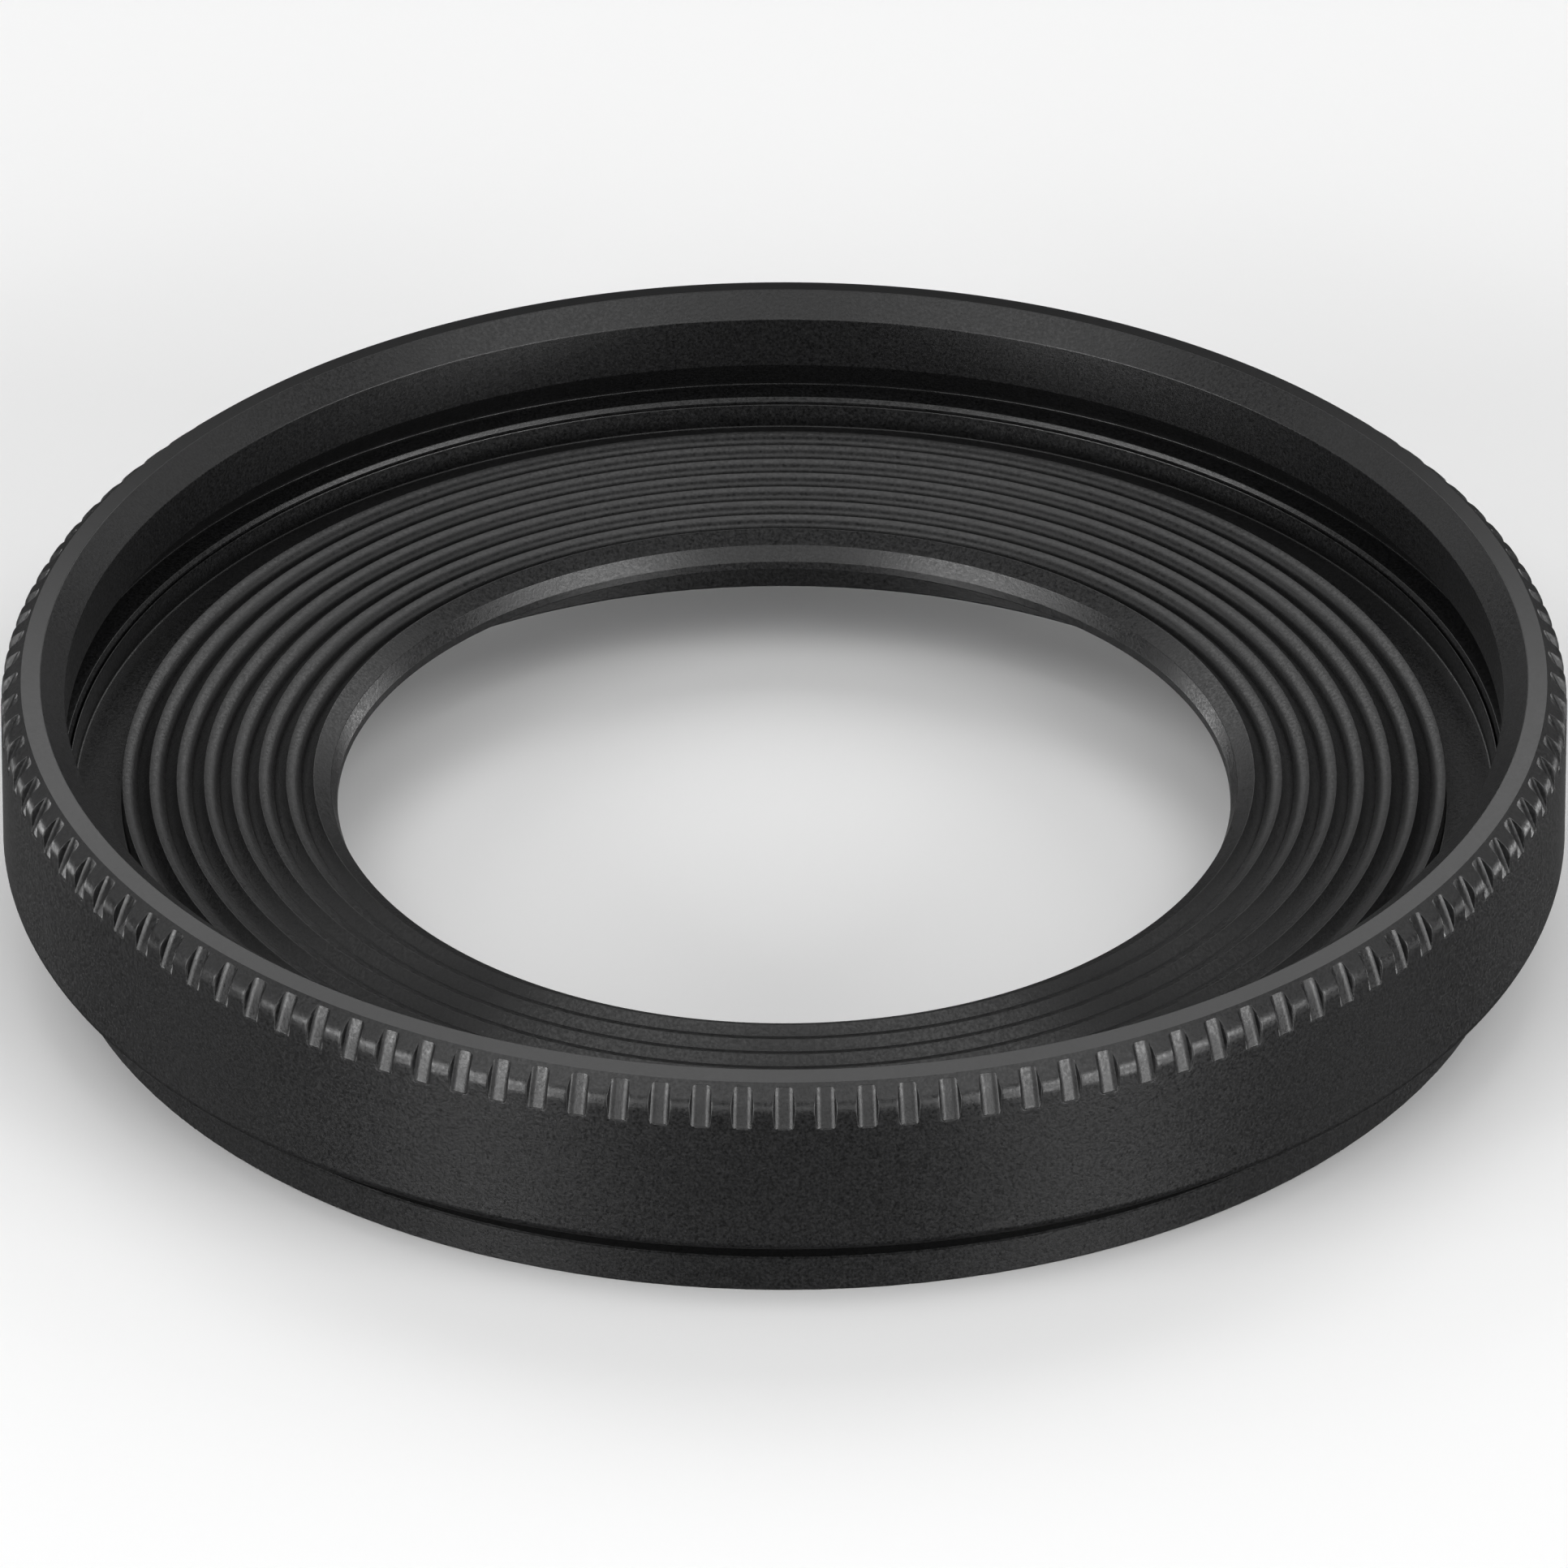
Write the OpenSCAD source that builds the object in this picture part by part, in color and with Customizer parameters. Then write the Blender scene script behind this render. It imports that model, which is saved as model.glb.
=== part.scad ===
// Shallow ridged lens hood: fluted front ring, light-trap baffle plate,
// bayonet mount ring and the screws that hold the stack together.
// Rear face on z = 0, optical axis on +Z, front rim up.

/* [Front ring] */
// Outside diameter of the ring
body_d = 61; // [50:0.1:80]
// Height of the whole hood, rear face to rim
hood_h = 10.42; // [8:0.01:16]
// Height of the underside of the front ring above the rear face
body_bottom_h = 3.09; // [2:0.01:5]
// Diameter of the inner wall behind the rim
mouth_d = 56.02; // [46:0.01:74]
// Outside diameter of the rim land
rim_outer_d = 59.43; // [50:0.01:79]
// Fall of the rim land from its inner to its outer edge
rim_fall = 0.11; // [0:0.01:0.3]
// Height at which the outside chamfer would meet the outside wall
chamfer_h = 9.62; // [8:0.01:14]
// Inside diameter of the rim land
rim_inner_d = 57.92; // [48:0.01:77]
// Depth of the funnel chamfer inside the rim
funnel_h = 0.82; // [0.3:0.01:2]
// Height at which the undercut starts below the inner wall
undercut_top_h = 7.48; // [6.5:0.01:9]
// Diameter of the undercut at the ledge
undercut_d = 58.18; // [50:0.01:76]
// Height of the ledge around the baffle plate
ledge_h = 5.95; // [5.5:0.01:7]
// Radial width of the bright chamfer inside the ledge
ledge_chamfer = 0.09; // [0.05:0.01:0.4]
// Radius of the rounding under the outer chamfer
shoulder_r = 0.7; // [0.2:0.05:1.5]
// Radius of the bottom outer edge
bottom_r = 0.41; // [0.1:0.01:1]

/* [Flutes] */
// Number of flutes around the rim
flute_n = 120; // [60:1:180]
// Width of the flat part of a flute floor
flute_floor_w = 0.26; // [0.2:0.01:1]
// Radius of the hollow on either side of a flute floor
flute_hollow_r = 0.34; // [0.1:0.01:0.5]
// Diameter of the flute floors at their top end
flute_top_d = 59.64; // [55:0.01:70]
// Height of the top end of the flutes
flute_top_h = 10.16; // [8:0.01:14]
// Height of the bottom end of the flutes
flute_end_h = 8.69; // [6:0.01:10]
// Depth of a flute below the outside wall at its bottom end
flute_end_depth = 0.06; // [0.02:0.01:0.3]

/* [Baffle plate] */
// Outside diameter of the plate
plate_d = 55.84; // [45:0.01:72]
// Height of the ridge tops above the rear face
ridge_h = 5.73; // [5:0.01:7]
// Outer edge diameter of the first ridge
ridge_first_d = 51.66; // [45:0.01:60]
// Radial pitch of the ridges
ridge_pitch = 1.067; // [0.8:0.001:1.5]
// Number of grooves between the ridges
groove_n = 7; // [3:1:9]
// Depth of a groove below the ridge tops
groove_depth = 0.42; // [0.3:0.01:1.2]
// Width of the flat land on a ridge
land_w = 0.28; // [0.1:0.01:0.6]
// Width of the slope from a groove bottom up to the next ridge edge
slope_w = 0.467; // [0.2:0.001:0.8]
// Depth of the wide channel outside the first ridge
channel_depth = 0.95; // [0.3:0.01:1]
// Diameter of the opening
opening_d = 34.86; // [20:0.01:40]
// Height of the plate underside around the opening
opening_bottom_h = 4.38; // [4:0.01:5]
// Height of the thick outer underside of the plate
plate_seat_h = 3.9; // [3.5:0.01:4.3]

/* [Mount ring] */
// Outside diameter of the rear flange
flange_d = 56.82; // [48:0.01:60]
// Height of the rear flange
flange_h = 1.54; // [1:0.01:2.2]
// Diameter of the neck above the flange
neck_d = 55; // [46:0.01:58]
// Inside diameter of the claws
bore_d = 46.4; // [40:0.01:50]
// Thickness of the claws
claw_h = 1.3; // [0.8:0.01:1.6]
// Diameter of the lug groove behind the claws
lug_groove_d = 48.9; // [42:0.01:52]
// Top of the lug groove
lug_groove_top_h = 2.7; // [2:0.01:3]
// Angular width of an entry notch, degrees
notch_a = 26; // [15:1:40]
// Outside diameter of the centring spigot
spigot_d = 50.1; // [46:0.01:54]

/* [Screws] */
// Number of screws
screw_n = 3; // [3:1:6]
// Thread diameter
screw_d = 1.6; // [1:0.1:2.5]
// Head diameter
screw_head_d = 2.8; // [2:0.1:4]
// Diameter of the circle the screws sit on
screw_pcd = 52.3; // [48:0.1:56]
// Height of the screw tip above the rear face
screw_tip_h = 4.55; // [4:0.05:5.5]

/* [Hidden] */
body_r = body_d / 2;
mouth_r = mouth_d / 2;
rim_or = rim_outer_d / 2;
rim_ir = rim_inner_d / 2;
undercut_r = undercut_d / 2;
plate_r = plate_d / 2;
recess_r = plate_r + 0.08;
web_top_h = plate_seat_h;
flute_top_r = flute_top_d / 2;
opening_r = opening_d / 2;
ridge_first_r = ridge_first_d / 2;
neck_r = neck_d / 2;
bore_r = bore_d / 2;
spigot_r = spigot_d / 2;
web_r = spigot_r + 0.05;
screw_r = screw_pcd / 2;
groove_r = lug_groove_d / 2;
notch_r = groove_r - 0.15;
flute_tilt = atan((body_r - flute_end_depth - flute_top_r) / (flute_top_h - flute_end_h));
flute_l = (flute_top_h - flute_end_h) / cos(flute_tilt);
cone_a = atan((hood_h - rim_fall - chamfer_h) / (body_r - rim_or));
shoulder_t = shoulder_r * tan((90 - cone_a) / 2);
$fn = 180;

// Points of an arc, from angle a0 to a1 about (cx, cy)
function arc(cx, cy, r, a0, a1, n) =
  [for (i = [0:n]) [cx + r * cos(a0 + (a1 - a0) * i / n), cy + r * sin(a0 + (a1 - a0) * i / n)]];

module front_ring_body() {
  rotate_extrude()
    polygon(concat(
      [[web_r, body_bottom_h]],
      arc(body_r - bottom_r, body_bottom_h + bottom_r, bottom_r, -90, 0, 6),
      arc(body_r - shoulder_r, chamfer_h - shoulder_t, shoulder_r, 0, 90 - cone_a, 6),
      [[rim_or, hood_h - rim_fall],
       [rim_ir, hood_h],
       [mouth_r, hood_h - funnel_h],
       [mouth_r, undercut_top_h],
       [undercut_r, ledge_h + 0.05],
       [undercut_r, ledge_h],
       [recess_r + ledge_chamfer, ledge_h],
       [recess_r, ledge_h - 0.18],
       [recess_r, web_top_h],
       [web_r, web_top_h]]));
}

// One flute cutter: flat floor with a hollow on either side, opening along
// local Z, from the bottom end at the origin up along local Y
module flute_cutter() {
  w = flute_floor_w / 2;
  side = [for (a = [0, 22, 44]) [w + flute_hollow_r * sin(a), flute_hollow_r * (1 - cos(a))]];
  translate([0, flute_l, 0])
    rotate([90, 0, 0])
      linear_extrude(height = flute_l)
        polygon(concat(side, [[side[2][0] + 0.2, 0.8], [-side[2][0] - 0.2, 0.8]],
                       [for (i = [2, 1, 0]) [-side[i][0], side[i][1]]]));
}

module front_ring() {
  color([0.055, 0.055, 0.058])
  difference() {
    front_ring_body();
    for (i = [0:flute_n - 1])
      rotate([0, 0, -90 + i * 360 / flute_n])
        translate([body_r - flute_end_depth, 0, flute_end_h])
          rotate([0, -flute_tilt, 0])
            rotate([0, 90, 0])
              rotate([0, 0, 90])
                flute_cutter();
    for (i = [0:screw_n - 1])
      rotate([0, 0, 90 + i * 360 / screw_n])
        translate([screw_r, 0, body_bottom_h - 1])
          cylinder(d = screw_d + 0.2, h = 3, $fn = 48);
  }
}

// Section of one ridge of the plate, from its sharp outer edge inward: flat
// land, rounded fall to the groove bottom, then the slope up to the next edge
function ridge_pts(k) =
  let (ro = ridge_first_r - k * ridge_pitch, fall = ridge_pitch - slope_w - land_w)
  [[ro, ridge_h],
   [ro - land_w, ridge_h],
   [ro - land_w - 0.44 * fall, ridge_h - 0.14 * groove_depth],
   [ro - land_w - 0.75 * fall, ridge_h - 0.42 * groove_depth],
   [ro - land_w - 0.92 * fall, ridge_h - 0.78 * groove_depth],
   [ro - land_w - fall, ridge_h - groove_depth]];

module baffle_plate() {
  last_r = ridge_first_r - groove_n * ridge_pitch;
  color([0.05, 0.05, 0.052])
  difference() {
    rotate_extrude()
      polygon(concat(
        [[23.3, opening_bottom_h], [23.3, plate_seat_h], [plate_r, plate_seat_h],
         [plate_r, ridge_h]],
        [[plate_r - 0.04, ridge_h]],
        arc(plate_r - 0.5, ridge_h - channel_depth + 0.4, 0.4, 0, -90, 5),
        [[ridge_first_r, ridge_h - channel_depth]],
        [for (k = [0:groove_n - 1]) each ridge_pts(k)],
        [[last_r, ridge_h],
         [17.69, ridge_h - 0.37], [opening_r + 0.02, opening_bottom_h + 0.35], [opening_r, opening_bottom_h + 0.31],
         [opening_r, opening_bottom_h]]));
    for (i = [0:screw_n - 1])
      rotate([0, 0, 90 + i * 360 / screw_n])
        translate([screw_r, 0, plate_seat_h - 1])
          cylinder(d = screw_d + 0.02, h = 1 + screw_tip_h - plate_seat_h + 0.05, $fn = 48);
  }
}

// Wedge of angle a between z and z + h
module notch_cutter(h, z, a) {
  translate([0, 0, z])
    linear_extrude(height = h)
      polygon([[0, 0],
               [40 * cos(-a / 2), 40 * sin(-a / 2)],
               [44, 0],
               [40 * cos(a / 2), 40 * sin(a / 2)]]);
}

module mount_ring() {
  color([0.045, 0.045, 0.047])
  difference() {
    rotate_extrude()
      polygon([[bore_r + 0.15, 0], [flange_d / 2 - 0.12, 0], [flange_d / 2, 0.12],
               [flange_d / 2, flange_h - 0.06], [flange_d / 2 - 0.06, flange_h], [neck_r, flange_h],
               [neck_r, body_bottom_h], [spigot_r, body_bottom_h],
               [spigot_r, plate_seat_h - 0.15], [spigot_r - 0.1, plate_seat_h - 0.05],
               [bore_r + 0.1, plate_seat_h - 0.05],
               [bore_r + 0.1, lug_groove_top_h], [groove_r, lug_groove_top_h], [groove_r, claw_h],
               [bore_r, claw_h], [bore_r, 0.15]]);
    // entry notches for the lens lugs
    for (i = [0:2])
      rotate([0, 0, -90 + i * 120])
        intersection() {
          notch_cutter(claw_h + 1, -0.5, notch_a);
          translate([0, 0, -1])
            cylinder(r = notch_r, h = 6);
        }
    for (i = [0:screw_n - 1])
      rotate([0, 0, 90 + i * 360 / screw_n])
        translate([screw_r, 0, 0]) {
          translate([0, 0, -1])
            cylinder(d = screw_d + 0.2, h = 6, $fn = 48);
          rotate_extrude($fn = 48)
            polygon([[0, -1], [screw_head_d / 2 + 0.1, -1], [screw_head_d / 2 + 0.1, 0.15],
                     [screw_d / 2 + 0.05, 0.9], [0, 0.9]]);
        }
  }
}

module ring_screw() {
  difference() {
    rotate_extrude($fn = 48)
      polygon([[0, 0.06], [screw_head_d / 2 - 0.04, 0.06], [screw_head_d / 2, 0.1], [screw_head_d / 2, 0.2],
               [screw_d / 2, 0.85], [screw_d / 2, screw_tip_h - 0.2], [screw_d / 2 - 0.2, screw_tip_h],
               [0, screw_tip_h]]);
    for (a = [0, 90])
      rotate([0, 0, a])
        translate([-0.75, -0.14, -0.2])
          cube([1.5, 0.28, 0.75]);
  }
}

module ring_screws() {
  color([0.12, 0.12, 0.125])
  for (i = [0:screw_n - 1])
    rotate([0, 0, 90 + i * 360 / screw_n])
      translate([screw_r, 0, 0])
        ring_screw();
}

front_ring();
baffle_plate();
mount_ring();
ring_screws();
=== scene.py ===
import bpy, bmesh, math
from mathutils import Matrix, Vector


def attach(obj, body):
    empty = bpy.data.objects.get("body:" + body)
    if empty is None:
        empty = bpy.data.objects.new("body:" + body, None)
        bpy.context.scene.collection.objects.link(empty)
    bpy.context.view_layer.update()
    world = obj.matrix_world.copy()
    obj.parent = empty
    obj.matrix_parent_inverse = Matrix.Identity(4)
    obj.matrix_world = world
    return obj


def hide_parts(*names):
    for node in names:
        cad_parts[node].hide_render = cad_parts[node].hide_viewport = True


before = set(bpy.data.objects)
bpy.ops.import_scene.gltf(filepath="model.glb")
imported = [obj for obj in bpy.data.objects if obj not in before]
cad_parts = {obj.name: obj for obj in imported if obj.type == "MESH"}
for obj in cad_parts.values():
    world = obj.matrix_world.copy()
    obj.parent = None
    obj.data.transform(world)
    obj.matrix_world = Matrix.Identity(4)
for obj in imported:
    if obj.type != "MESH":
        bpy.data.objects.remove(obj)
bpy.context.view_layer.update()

MM = 0.001
TAU = 2 * math.pi


# ---------------------------------------------------------------- profiles
def fillet(points, closed=True, support=0.02):
    """points: (r, z, radius, segments). Returns (r, z) with every corner of
    radius > 0 turned into an arc, with a support point beside each arc."""
    out = []
    n = len(points)
    for i, p in enumerate(points):
        r, z, rad = p[0], p[1], p[2]
        seg = p[3] if len(p) > 3 else 3
        if rad <= 0 or (not closed and i in (0, n - 1)):
            out.append((r, z))
            continue
        a, b, c = Vector(points[i - 1][:2]), Vector((r, z)), Vector(points[(i + 1) % n][:2])
        u, v = (a - b), (c - b)
        lu, lv = u.length, v.length
        u.normalize(), v.normalize()
        half = math.acos(max(-1, min(1, u.dot(v)))) / 2
        t = min(rad / math.tan(half), lu * 0.48, lv * 0.48)
        rad = t * math.tan(half)
        centre = b + (u + v).normalized() * (rad / math.sin(half))
        s, e = b + u * t - centre, b + v * t - centre
        if lu > t * 2 + support * 2:
            q = b + u * (t + support)
            out.append((q.x, q.y))
        a0 = math.atan2(s.y, s.x)
        d = math.atan2(e.y, e.x) - a0
        while d > math.pi:
            d -= TAU
        while d < -math.pi:
            d += TAU
        for k in range(seg + 1):
            a_ = a0 + d * k / seg
            out.append((centre.x + rad * math.cos(a_), centre.y + rad * math.sin(a_)))
        if lv > t * 2 + support * 2:
            q = b + v * (t + support)
            out.append((q.x, q.y))
    return out


def finish_mesh(name, verts, faces, mats, face_mat=None, sharp=32.0):
    me = bpy.data.meshes.new(name)
    me.from_pydata(verts, [], faces)
    me.validate()
    bm = bmesh.new()
    bm.from_mesh(me)
    bmesh.ops.remove_doubles(bm, verts=bm.verts, dist=1e-9)
    bmesh.ops.recalc_face_normals(bm, faces=bm.faces)
    for f in bm.faces:
        f.smooth = True
    lim = math.radians(sharp)
    for e in bm.edges:
        if len(e.link_faces) == 2 and e.calc_face_angle(0) > lim:
            e.smooth = False
    if face_mat:
        for f in bm.faces:
            f.material_index = face_mat(f.calc_center_median(), f.normal)
    bm.to_mesh(me)
    bm.free()
    o = bpy.data.objects.new(name, me)
    bpy.context.scene.collection.objects.link(o)
    for m in mats:
        me.materials.append(m)
    return o


def revolve(prof, cols):
    """closed profile of (r, z) in mm, turned about Z at the angles in cols"""
    verts, faces = [], []
    n, m = len(prof), len(cols)
    for a in cols:
        c, s = math.cos(a), math.sin(a)
        for r, z in prof:
            verts.append((r * c * MM, r * s * MM, z * MM))
    for j in range(m):
        k = (j + 1) % m
        for i in range(n):
            h = (i + 1) % n
            faces.append((j * n + i, k * n + i, k * n + h, j * n + h))
    return verts, faces


# ---------------------------------------------------------------- materials
def nodes_of(mat):
    mat.use_nodes = True
    nt = mat.node_tree
    nt.nodes.clear()
    out = nt.nodes.new("ShaderNodeOutputMaterial")
    bsdf = nt.nodes.new("ShaderNodeBsdfPrincipled")
    nt.links.new(bsdf.outputs[0], out.inputs[0])
    return nt, bsdf


def grained(name, base, rough, spec, grain=0.000105, bump=0.000006, strength=0.6, rough_var=0.09,
            col_var=0.8, metallic=0.0):
    """satin black moulding: a fine spark-eroded grain in bump, roughness and
    tone, over larger soft patches"""
    mat = bpy.data.materials.new(name)
    nt, b = nodes_of(mat)
    N, L = nt.nodes.new, nt.links.new
    tc = N("ShaderNodeTexCoord")

    def noise(scale, detail, offset):
        mp = N("ShaderNodeMapping")
        mp.inputs["Location"].default_value = (offset, offset * 1.7, offset * 2.3)
        L(tc.outputs["Object"], mp.inputs["Vector"])
        t = N("ShaderNodeTexNoise")
        t.inputs["Scale"].default_value = scale
        t.inputs["Detail"].default_value = detail
        t.inputs["Roughness"].default_value = 0.6
        L(mp.outputs[0], t.inputs["Vector"])
        return t.outputs["Fac"]

    def span(src, lo, hi):
        m = N("ShaderNodeMapRange")
        m.inputs["From Min"].default_value = 0.3
        m.inputs["From Max"].default_value = 0.7
        m.inputs["To Min"].default_value = lo
        m.inputs["To Max"].default_value = hi
        L(src, m.inputs["Value"])
        return m.outputs[0]

    fine = noise(1.0 / grain, 1.0, 0.0)
    pits = noise(0.8 / grain, 1.0, 0.013)
    broad = noise(160.0, 3.0, 0.031)
    mul = N("ShaderNodeMath")
    mul.operation = "MULTIPLY"
    L(span(fine, 1.0 - col_var, 1.0 + col_var), mul.inputs[0])
    L(span(broad, 0.9, 1.1), mul.inputs[1])
    sc = N("ShaderNodeVectorMath")
    sc.operation = "SCALE"
    sc.inputs[0].default_value = base
    L(mul.outputs[0], sc.inputs["Scale"])
    L(sc.outputs[0], b.inputs["Base Color"])
    L(span(pits, rough - rough_var, rough + rough_var), b.inputs["Roughness"])
    add = N("ShaderNodeMath")
    add.operation = "ADD"
    L(fine, add.inputs[0])
    L(pits, add.inputs[1])
    bp = N("ShaderNodeBump")
    bp.inputs["Strength"].default_value = strength
    bp.inputs["Distance"].default_value = bump
    L(add.outputs[0], bp.inputs["Height"])
    L(bp.outputs[0], b.inputs["Normal"])
    b.inputs["Metallic"].default_value = metallic
    b.inputs["Specular IOR Level"].default_value = spec
    return mat


ring_mat = grained("ring_grain", (0.0050, 0.0050, 0.0052), 0.37, 0.5)
# the rim's flat top: a smoother, glossier finish, and a lighter base tone that is painted highlight for the light
# the open top face catches
rim_smooth_lit_mat = grained("rim_land_painted_highlight", (0.0080, 0.0080, 0.0083), 0.31, 0.6, bump=0.0000016, strength=0.3,
                  rough_var=0.03, col_var=0.2)
baffle_mat = grained("baffle_grain", (0.0050, 0.0050, 0.0052), 0.37, 0.5)
mount_mat = grained("mount_grain", (0.0050, 0.0050, 0.0052), 0.39, 0.45)
screw_mat = grained("screw_black", (0.10, 0.10, 0.105), 0.34, 0.5, grain=0.00009, bump=0.000002, strength=0.3,
                    rough_var=0.1, col_var=0.2, metallic=1.0)

# ---------------------------------------------------------------- front ring
BODY_R, HOOD_H, BOTTOM = 30.5, 10.42, 3.09
RIM_O, RIM_I, MOUTH = 29.715, 28.96, 28.01
RIM_OH, CONE_H = 10.31, 9.62
N_FLUTE = 120
F_TOP_R, F_TOP_H, F_END_H, F_END_D = 29.82, 10.16, 8.69, 0.06
SLOPE = (BODY_R - F_END_D - F_TOP_R) / (F_TOP_H - F_END_H)
CONE = (BODY_R - RIM_O) / (RIM_OH - CONE_H)
SH_R = 0.85
turn = math.atan(1.0 / CONE) * -1 + math.pi / 2      # from the wall round to the chamfer
sh_t = SH_R * math.tan(turn / 2)


def land_r(h):
    """outside radius between the flutes at height h"""
    arc_lo = CONE_H - sh_t
    arc_hi = arc_lo + SH_R * math.sin(turn)
    if h <= arc_lo:
        return BODY_R
    if h <= arc_hi:
        return BODY_R - SH_R + math.sqrt(max(SH_R ** 2 - (h - arc_lo) ** 2, 0))
    return RIM_O + (RIM_OH - h) * CONE


def floor_r(h):
    r = BODY_R - F_END_D - SLOPE * (h - F_END_H)
    return r + 0.1 * max(0.0, land_r(h) - r - 0.07)    # a touch shallower under the shoulder


def wall_w(d):
    """half width of a flute at height d above its floor"""
    w0, fr, dk = 0.13, 0.34, 0.08
    if d <= dk:
        return w0 + math.sqrt(max(fr * fr - (fr - d) ** 2, 0))
    return w0 + math.sqrt(fr * fr - (fr - dk) ** 2) + (d - dk) * 0.28


rows = [10.31, 10.285, 10.25, 10.215, 10.19, 10.16, 10.12, 10.06, 10.0, 9.94, 9.88, 9.83, 9.79, 9.75, 9.71, 9.67,
        9.63, 9.58, 9.53, 9.48, 9.42, 9.36, 9.30, 9.2, 9.1, 9.0, 8.9, 8.8, 8.72, 8.69, 8.645, 8.62, 8.58]
grid = []
for h in rows:
    cut = F_END_H - 1e-6 <= h <= F_TOP_H + 1e-6
    d_full = land_r(h) - floor_r(h) if cut else 0.004
    half = []                                  # from the land's middle to the flute's middle
    lip = 0.022 * min(1.0, d_full / 0.1)
    d_w = d_full - lip
    w_e = wall_w(d_w)
    w_l = w_e + lip * 2.2
    pitch_half = math.pi * BODY_R / N_FLUTE
    for t in (1.0, 0.6, 0.25, 0.0):
        half.append((w_l + (pitch_half - w_l) * t, d_full))
    half.append((w_e + lip * 1.1, d_full - lip * 0.16))
    half.append((w_e + lip * 0.4, d_full - lip * 0.5))
    for d in (d_w, max(0.08, 0.5 * (d_w + 0.08)), 0.08, 0.062, 0.045, 0.031, 0.02, 0.011, 0.005, 0.001):
        d = min(d, d_w)
        half.append((wall_w(d), d))
    half.append((0.12, 0.0))
    half.append((0.0, 0.0))
    cols = [(-w, d) for w, d in half] + [(w, d) for w, d in reversed(half[1:-1])]
    grid.append((h, cut, cols))
ncol = len(grid[0][2])
verts, faces = [], []
fine_n = ncol * N_FLUTE
for h, cut, cols in grid:
    for f in range(N_FLUTE):
        a_mid = -math.pi / 2 + f * TAU / N_FLUTE
        for w, d in cols:
            a = a_mid + w / BODY_R
            r = floor_r(h) + d if cut else land_r(h)
            verts.append((r * math.cos(a) * MM, r * math.sin(a) * MM, h * MM))
for i in range(len(rows) - 1):
    for j in range(fine_n):
        k = (j + 1) % fine_n
        faces.append((i * fine_n + j, (i + 1) * fine_n + j, (i + 1) * fine_n + k, i * fine_n + k))
# the rest of the section, at a quarter of the columns, joined by wider faces
step = 4
coarse = [j for j in range(fine_n) if (j % ncol) % step == 0]
rest = fillet([
    (BODY_R, 8.58, 0), (BODY_R, BOTTOM, 0.41, 8), (25.1, BOTTOM, 0.03, 2), (25.1, 3.9, 0), (28.0, 3.9, 0),
    (28.0, 5.79, 0.02, 2), (28.1, 5.95, 0.03, 2), (29.09, 5.95, 0.04, 3), (29.09, 6.0, 0), (MOUTH, 7.48, 0.05, 3),
    (MOUTH, 9.60, 0.06, 3), (RIM_I, HOOD_H, 0.035, 4), (RIM_O, RIM_OH, 0)], closed=False)
inner = rest[1:-1]
first = len(verts)
angles = [math.atan2(verts[j][1], verts[j][0]) for j in coarse]
for r, z in inner:
    for a in angles:
        verts.append((r * math.cos(a) * MM, r * math.sin(a) * MM, z * MM))
nc = len(coarse)
last_row = (len(rows) - 1) * fine_n


def strip(row_a, row_b):
    for j in range(nc):
        k = (j + 1) % nc
        faces.append((row_a + j, row_b + j, row_b + k, row_a + k))


for i in range(len(inner) - 1):
    strip(first + i * nc, first + (i + 1) * nc)
for j in range(nc):
    k = (j + 1) % nc
    a, b = coarse[j], coarse[k] if k else coarse[0] + fine_n
    mid = [x % fine_n for x in range(a, b + 1)]
    faces.append(tuple([last_row + x for x in mid] + [first + k, first + j]))
    top = first + (len(inner) - 1) * nc
    faces.append(tuple([x for x in reversed(mid)] + [top + j, top + k]))


# the flat, upward-facing rim top takes the second material, whose lighter tone is painted highlight
def rim_top_highlight_face(c, n):
    r = math.hypot(c.x, c.y) / MM
    return 1 if (c.z / MM > RIM_OH - 0.02 and n.z > 0.9 and r > 28.8) else 0


ring = finish_mesh("front_ring_shell", verts, faces, [ring_mat, rim_smooth_lit_mat], rim_top_highlight_face, sharp=30)
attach(ring, "root")
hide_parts("front_ring")

# ---------------------------------------------------------------- baffle plate
R0, PITCH, GROOVES, RH = 25.83, 1.067, 7, 5.73
CROWN = ((0.0, 0.0), (0.09, -0.014), (0.19, -0.036), (0.28, -0.064), (0.36, -0.1), (0.43, -0.144), (0.49, -0.198),
         (0.535, -0.256), (0.568, -0.316), (0.588, -0.373), (0.605, -0.42))
CH = 0.95
pts = [(23.3, 4.38, 0.03, 2), (23.3, 3.9, 0.03, 2), (27.92, 3.9, 0.03, 2), (27.92, RH, 0.02, 2),
       (27.86, RH, 0.03, 2)]
pts += [(27.74, RH - CH, 0.09, 4), (26.6, RH - CH - 0.001, 0), (R0, RH - CH, 0.06, 3)]
for g in range(GROOVES + 1):
    ro = R0 - g * PITCH
    pts.append((ro, RH, 0.018, 2))
    if g < GROOVES:
        for u, z in CROWN[1:]:
            pts.append((ro - u, RH + z, 0))
        pts.append((ro - 0.7, RH - 0.355, 0))
pts += [(17.69, RH - 0.37, 0.03, 3), (17.45, 4.73, 0.05, 3), (17.43, 4.38, 0.04, 3)]
prof = fillet(pts, closed=True, support=0.015)
cols = [i * TAU / 720 for i in range(720)]
v, f = revolve(prof, cols)
plate = finish_mesh("baffle_disc", v, f, [baffle_mat], sharp=34)
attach(plate, "root")
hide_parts("baffle_plate")

# ---------------------------------------------------------------- carried-over nodes
for name, mat in (("mount_ring", mount_mat), ("ring_screws", screw_mat)):
    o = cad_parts[name]
    o.data.materials.clear()
    o.data.materials.append(mat)

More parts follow.
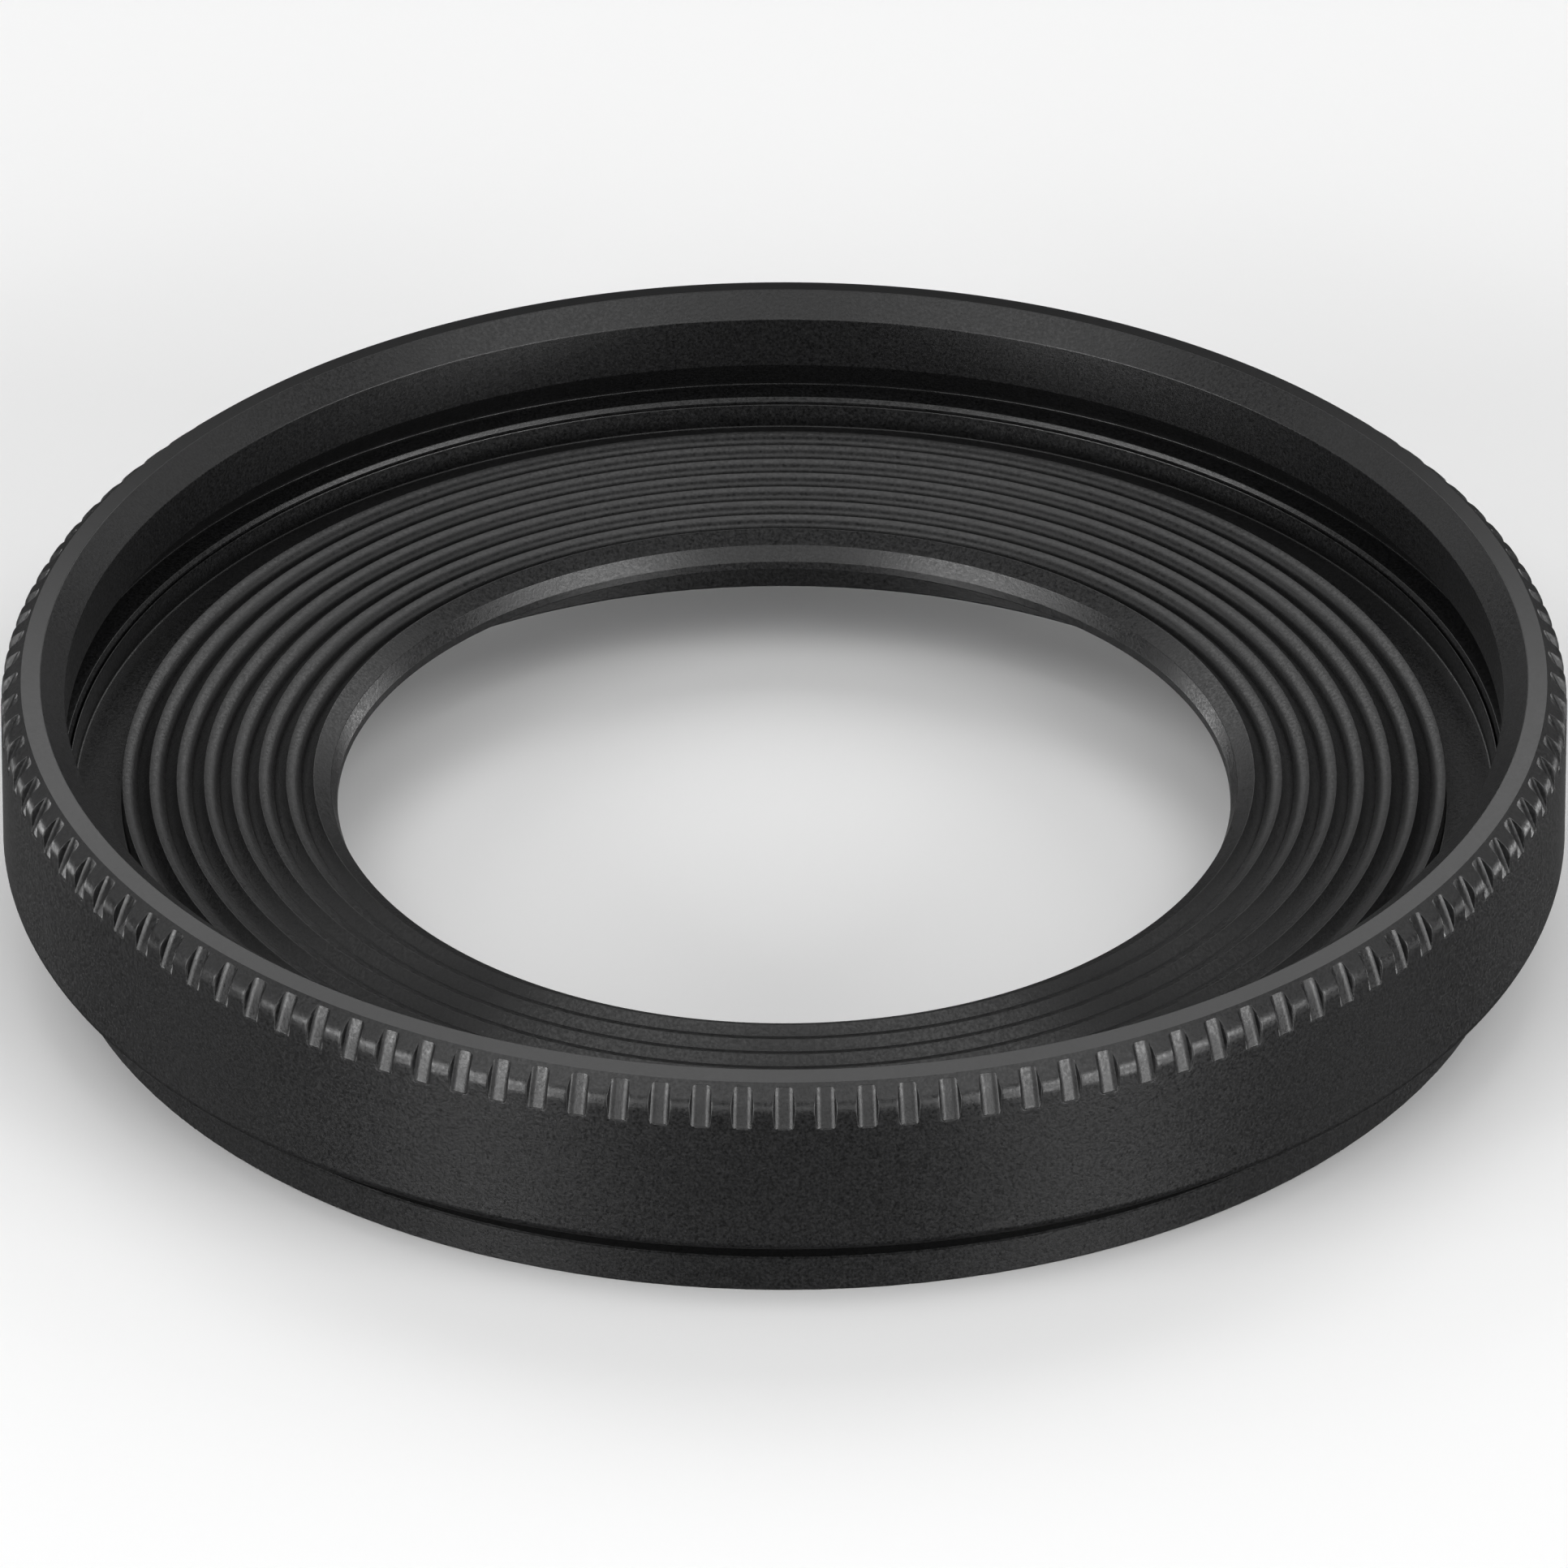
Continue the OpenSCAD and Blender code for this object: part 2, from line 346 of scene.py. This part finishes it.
# ---------------------------------------------------------------- stage
floor_m = bpy.data.materials.new("floor_pale")
nt, b = nodes_of(floor_m)
b.inputs["Base Color"].default_value = (0.86, 0.86, 0.86, 1)
b.inputs["Roughness"].default_value = 0.9
b.inputs["Specular IOR Level"].default_value = 0.1
bpy.ops.mesh.primitive_plane_add(size=6, location=(0, 0, -0.00002))
floor = bpy.context.object
floor.name = "stage_floor"
floor.data.materials.append(floor_m)

world = bpy.data.worlds.new("studio")
bpy.context.scene.world = world
world.use_nodes = True
world.node_tree.nodes["Background"].inputs[0].default_value = (1, 1, 1, 1)
world.node_tree.nodes["Background"].inputs[1].default_value = 0.04
# the black finish is lit by the soft boxes alone: the pale floor shows no
# mirror image in it and lets the low boxes reach the walls
floor.visible_glossy = False
floor.visible_shadow = False


def softbox(az, el_, w, h, radiance):
    """A pair of softboxes 1 m away, mirrored left and right. az 0 is the
    camera's side, el_ the height in degrees, w and h its size in degrees."""
    for side in ((1, -1) if az not in (0, 180) else (1,)):
        a, e = math.radians(az * side), math.radians(el_)
        d = Vector((math.sin(a) * math.cos(e), -math.cos(a) * math.cos(e), math.sin(e)))
        li = bpy.data.lights.new("softbox", "AREA")
        li.shape = "RECTANGLE"
        li.size = 2 * math.tan(math.radians(w / 2))
        li.size_y = 2 * math.tan(math.radians(h / 2))
        li.energy = radiance * math.pi * li.size * li.size_y
        o = bpy.data.objects.new(f"softbox_{az}_{el_}_{'r' if side > 0 else 'l'}", li)
        o.location = d + Vector((0, 0, 0.005))
        o.rotation_mode = "QUATERNION"
        o.rotation_quaternion = d.to_track_quat("Z", "Y")
        o.visible_camera = False
        bpy.context.scene.collection.objects.link(o)


for az, el_, w, h, radiance in (
    (0, -34, 26, 20, 0.09), (92, -34, 26, 20, 0.19), (180, -34, 26, 20, 0.27),
    (42, -12, 22, 16, 8.84), (64, -12, 22, 16, 0.38), (92, -12, 22, 16, 0.79), (122, -12, 22, 16, 5.35),
    (42, 4, 22, 12, 2.32), (152, 4, 22, 12, 0.28),
    (0, 16, 24, 14, 2.3), (22, 16, 24, 14, 1.48), (42, 16, 24, 14, 9.56), (64, 16, 24, 14, 10.3),
    (122, 16, 24, 14, 0.45),
    (92, 34, 28, 20, 0.96), (122, 34, 28, 20, 0.57), (152, 34, 28, 20, 1.97),
    (42, 58, 40, 24, 2.17), (180, 58, 40, 24, 1.9),
):
    softbox(az, el_, w, h, radiance)

# ---------------------------------------------------------------- camera
cam_d = bpy.data.cameras.new("camera")
cam = bpy.data.objects.new("camera", cam_d)
bpy.context.scene.collection.objects.link(cam)
cam_d.sensor_width = 36.0
cam_d.lens = 33000 / 1932 * 36.0
el = math.asin(0.5276)
aim = Vector((0, 0, 0.0052075))
back = Vector((0, -math.cos(el), math.sin(el)))
cam.location = aim + back * 1.0456
cam.rotation_mode = "QUATERNION"
cam.rotation_quaternion = (-back).to_track_quat("-Z", "Y")
cam_d.clip_start, cam_d.clip_end = 0.05, 20
bpy.context.scene.camera = cam
bpy.context.scene.view_settings.view_transform = "Standard"
